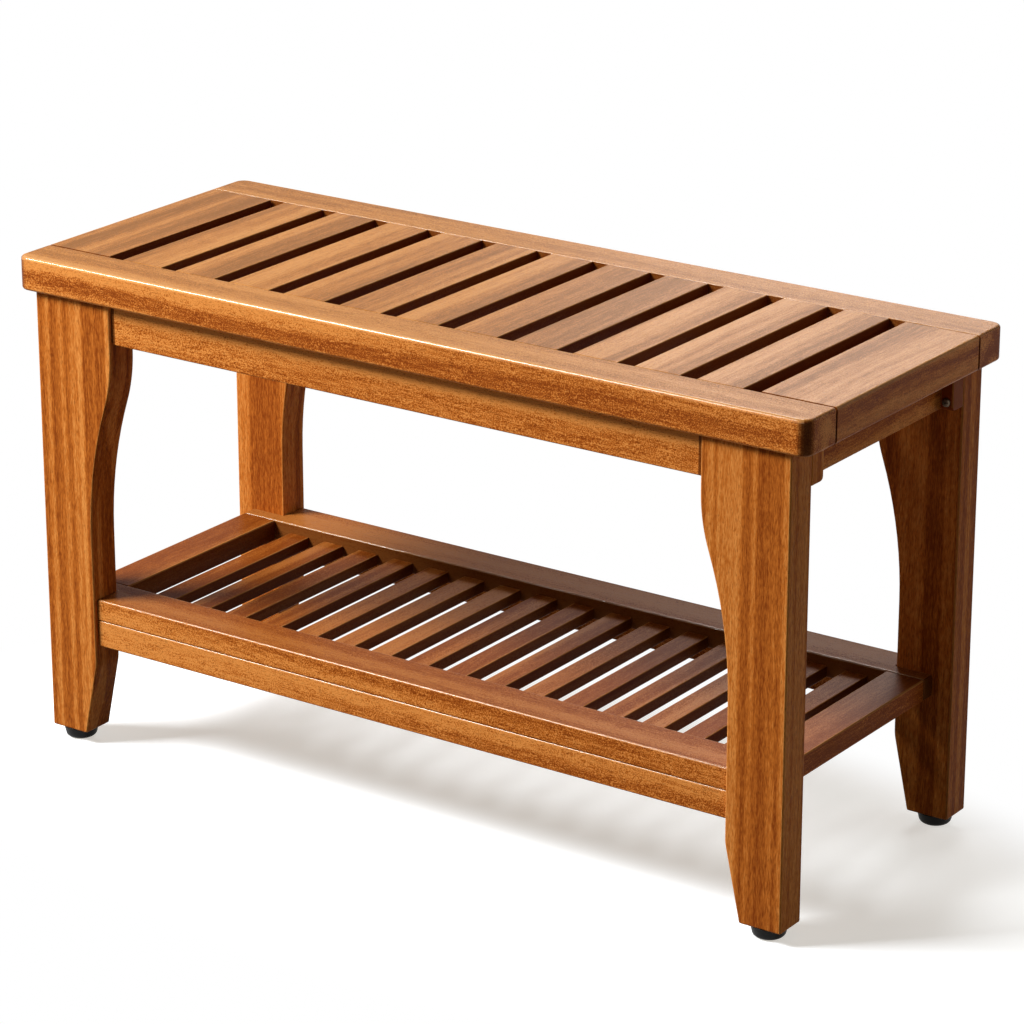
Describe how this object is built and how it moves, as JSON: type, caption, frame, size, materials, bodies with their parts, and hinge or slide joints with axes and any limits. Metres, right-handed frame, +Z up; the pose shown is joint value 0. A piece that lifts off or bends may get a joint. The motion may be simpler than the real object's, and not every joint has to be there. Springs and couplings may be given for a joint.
{
  "type": "shower bench",
  "caption": "Slatted teak shower bench: a framed seat with rounded corners on shaped legs, with a recessed slatted shelf near the floor and rubber feet.",
  "frame": {"origin": "on the floor, under the middle of the seat", "axes": "+X along the seat towards its right end as seen from the front, +Y towards the back, +Z up"},
  "size_m": [0.815, 0.32, 0.457],
  "materials": {
    "seat_teak": "oiled, satin",
    "frame_teak": "oiled, satin",
    "leg_teak": "oiled, satin",
    "shelf_teak": "oiled, satin",
    "beech": "plain, unfinished",
    "steel": "brushed",
    "rubber": "matt"
  },
  "bodies": {
    "root": {"front_rail": "seat_teak", "back_rail": "seat_teak", "left_end_board": "seat_teak", "right_end_board": "seat_teak", "seat_slat_01": "seat_teak", "seat_slat_02": "seat_teak", "seat_slat_03": "seat_teak", "seat_slat_04": "seat_teak", "seat_slat_05": "seat_teak", "seat_slat_06": "seat_teak", "seat_slat_07": "seat_teak", "seat_slat_08": "seat_teak", "seat_slat_09": "seat_teak", "seat_slat_10": "seat_teak", "seat_slat_11": "seat_teak", "front_apron": "frame_teak", "back_apron": "frame_teak", "left_apron": "frame_teak", "right_apron": "frame_teak", "front_left_cleat": "frame_teak", "front_right_cleat": "frame_teak", "back_left_cleat": "frame_teak", "back_right_cleat": "frame_teak", "front_left_leg": "leg_teak", "front_right_leg": "leg_teak", "back_left_leg": "leg_teak", "back_right_leg": "leg_teak", "shelf_front_rail": "frame_teak", "shelf_back_rail": "frame_teak", "shelf_left_rail": "frame_teak", "shelf_right_rail": "frame_teak", "shelf_slat_01": "shelf_teak", "shelf_slat_02": "shelf_teak", "shelf_slat_03": "shelf_teak", "shelf_slat_04": "shelf_teak", "shelf_slat_05": "shelf_teak", "shelf_slat_06": "shelf_teak", "shelf_slat_07": "shelf_teak", "shelf_slat_08": "shelf_teak", "shelf_slat_09": "shelf_teak", "shelf_slat_10": "shelf_teak", "shelf_slat_11": "shelf_teak", "shelf_slat_12": "shelf_teak", "shelf_slat_13": "shelf_teak", "shelf_slat_14": "shelf_teak", "shelf_slat_15": "shelf_teak", "shelf_slat_16": "shelf_teak", "front_stretcher": "frame_teak", "back_stretcher": "frame_teak", "front_left_foot": "rubber", "front_right_foot": "rubber", "back_left_foot": "rubber", "back_right_foot": "rubber", "frame_dowels": "beech", "shelf_dowels": "beech", "cleat_screws": "steel", "seat_screws": "steel", "stretcher_screws": "steel", "foot_screws": "steel"}
  },
  "joints": []
}
